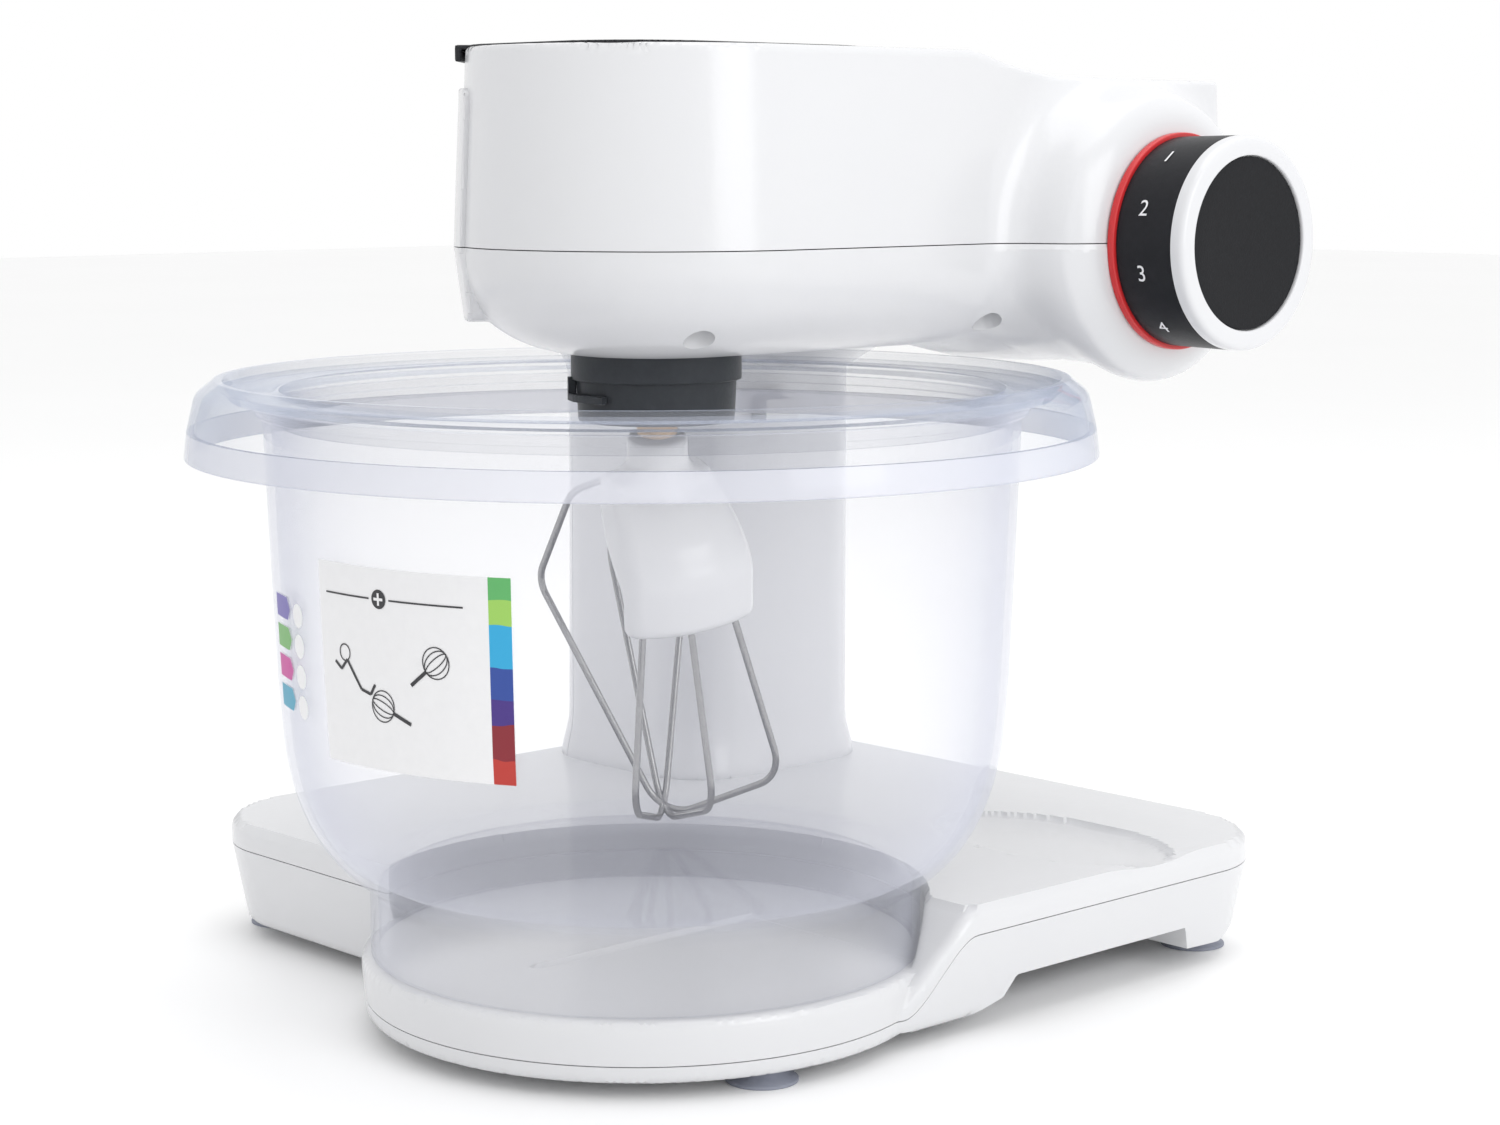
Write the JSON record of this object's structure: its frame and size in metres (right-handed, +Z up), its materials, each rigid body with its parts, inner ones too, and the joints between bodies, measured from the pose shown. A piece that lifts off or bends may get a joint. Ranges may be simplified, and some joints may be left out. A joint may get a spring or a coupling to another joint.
{
  "type": "stand mixer",
  "caption": "Compact stand mixer: a tilting arm with a side dial on a rear column, a low base, a clear bowl with a splash ring and a tilted wire whisk.",
  "frame": {"origin": "on the resting plane, under the middle of the whole machine seen from above", "axes": "+Z up, the nose of the arm faces -Y, the dial is on the +X side"},
  "size_m": [0.336, 0.358, 0.3054],
  "materials": {
    "shell_white": "moulded gloss white ABS",
    "cover_dark": "fine matte dark grey",
    "collar_grey": "satin dark grey",
    "dial_black": "satin black",
    "dial_disc": "fine-textured black",
    "accent_red": "gloss red",
    "foot_rubber": "soft grey rubber",
    "clear_bowl": "clear moulded plastic with a faint violet tint",
    "clear_lid": "clear moulded plastic",
    "label_paper": "printed white film",
    "steel": "drawn steel wire, polished",
    "steel_plain": "zinc-plated steel",
    "bronze": "sintered bronze",
    "iron": "stacked laminations",
    "copper": "copper bars",
    "belt_rubber": "toothed belt rubber",
    "gear_plastic": "natural acetal",
    "board_green": "glass-epoxy laminate"
  },
  "bodies": {
    "base": {"base_upper_shell": "shell_white", "base_lower_shell": "shell_white", "suction_feet": "foot_rubber", "foot_screws": "steel_plain", "cord_gland": "cover_dark", "base_screws": "steel_plain", "column_shell": "shell_white", "pivot_axle": "steel_plain", "latch_spring": "steel_plain"},
    "release": {"release_button": "cover_dark"},
    "latch": {"latch_bolt": "steel_plain"},
    "head": {"head_upper_shell": "shell_white", "head_lower_shell": "shell_white", "head_screws": "steel_plain", "hub_bushes": "bronze", "drive_collar": "collar_grey", "main_bearings": "steel_plain", "chassis_plate": "steel_plain", "motor_field_frame": "iron", "brush_holders": "bronze", "motor_bearing": "bronze", "drive_belt": "belt_rubber", "front_drive_socket": "collar_grey", "circuit_board": "board_green", "speed_switch": "gear_plastic"},
    "top_cover": {"top_drive_cover": "cover_dark"},
    "front_cover": {"front_drive_cover": "shell_white"},
    "carrier": {"planet_carrier": "collar_grey", "main_shaft": "steel_plain", "large_pulley": "gear_plastic", "top_drive_socket": "gear_plastic", "spindle_sleeve": "bronze"},
    "motor": {"motor_shaft": "steel_plain", "motor_armature": "copper", "commutator": "copper", "motor_fan": "gear_plastic", "small_pulley": "steel_plain"},
    "dial": {"dial_shaft": "steel_plain", "dial_ring": "accent_red", "dial_body": "dial_black", "dial_rim": "shell_white", "dial_end_disc": "dial_disc"},
    "tool": {"tool_spindle": "steel", "whisk_body": "shell_white", "whisk_wires": "steel"},
    "bowl": {"bowl": "clear_bowl", "bowl_label": "label_paper", "bowl_tag": "label_paper"},
    "lid": {"splash_lid": "clear_lid"}
  },
  "joints": [
    {"name": "head_tilt", "type": "hinge", "parent": "base", "child": "head", "pos_m": [0.0297, 0.1139, 0.2447], "axis": [-1, 0, 0], "range_deg": [0, 58]},
    {"name": "release_press", "type": "slide", "parent": "base", "child": "release", "axis": [1, 0, 0], "range_m": [0, 0.004], "stiffness_N_per_m": 800, "springref_m": -0.002},
    {"name": "latch_draw", "type": "slide", "parent": "base", "child": "latch", "axis": [0, 0, -1], "range_m": [0, 0.006]},
    {"name": "carrier_spin", "type": "hinge", "parent": "head", "child": "carrier", "pos_m": [0.0297, -0.0351, 0.2], "axis": [0, 0, 1], "continuous": true},
    {"name": "motor_spin", "type": "hinge", "parent": "head", "child": "motor", "pos_m": [0.0297, 0.0609, 0.24], "axis": [0, 0, 1], "continuous": true},
    {"name": "tool_spin", "type": "hinge", "parent": "carrier", "child": "tool", "pos_m": [0.0297, -0.0351, 0.2], "axis": [-0.2185, 0.2066, -0.9537], "continuous": true},
    {"name": "dial_turn", "type": "hinge", "parent": "head", "child": "dial", "pos_m": [0.127, 0.1139, 0.2447], "axis": [-1, 0, 0], "range_deg": [-35, 140]},
    {"name": "top_cover_lift", "type": "slide", "parent": "head", "child": "top_cover", "axis": [0, 0, 1], "range_m": [0, 0.03]},
    {"name": "front_cover_pull", "type": "slide", "parent": "head", "child": "front_cover", "axis": [-0.7071, -0.7071, 0], "range_m": [0, 0.02]},
    {"name": "bowl_turn", "type": "hinge", "parent": "base", "child": "bowl", "pos_m": [0.027, -0.038, 0.024], "axis": [0, 0, 1], "range_deg": [0, 18]},
    {"name": "lid_lift", "type": "slide", "parent": "bowl", "child": "lid", "axis": [0, 0, 1], "range_m": [0, 0.003]}
  ],
  "couplings": [
    {"joint": "latch_draw", "follows": "release_press", "ratio": 1.5},
    {"joint": "motor_spin", "follows": "carrier_spin", "ratio": 4},
    {"joint": "tool_spin", "follows": "carrier_spin", "ratio": 2.5}
  ]
}
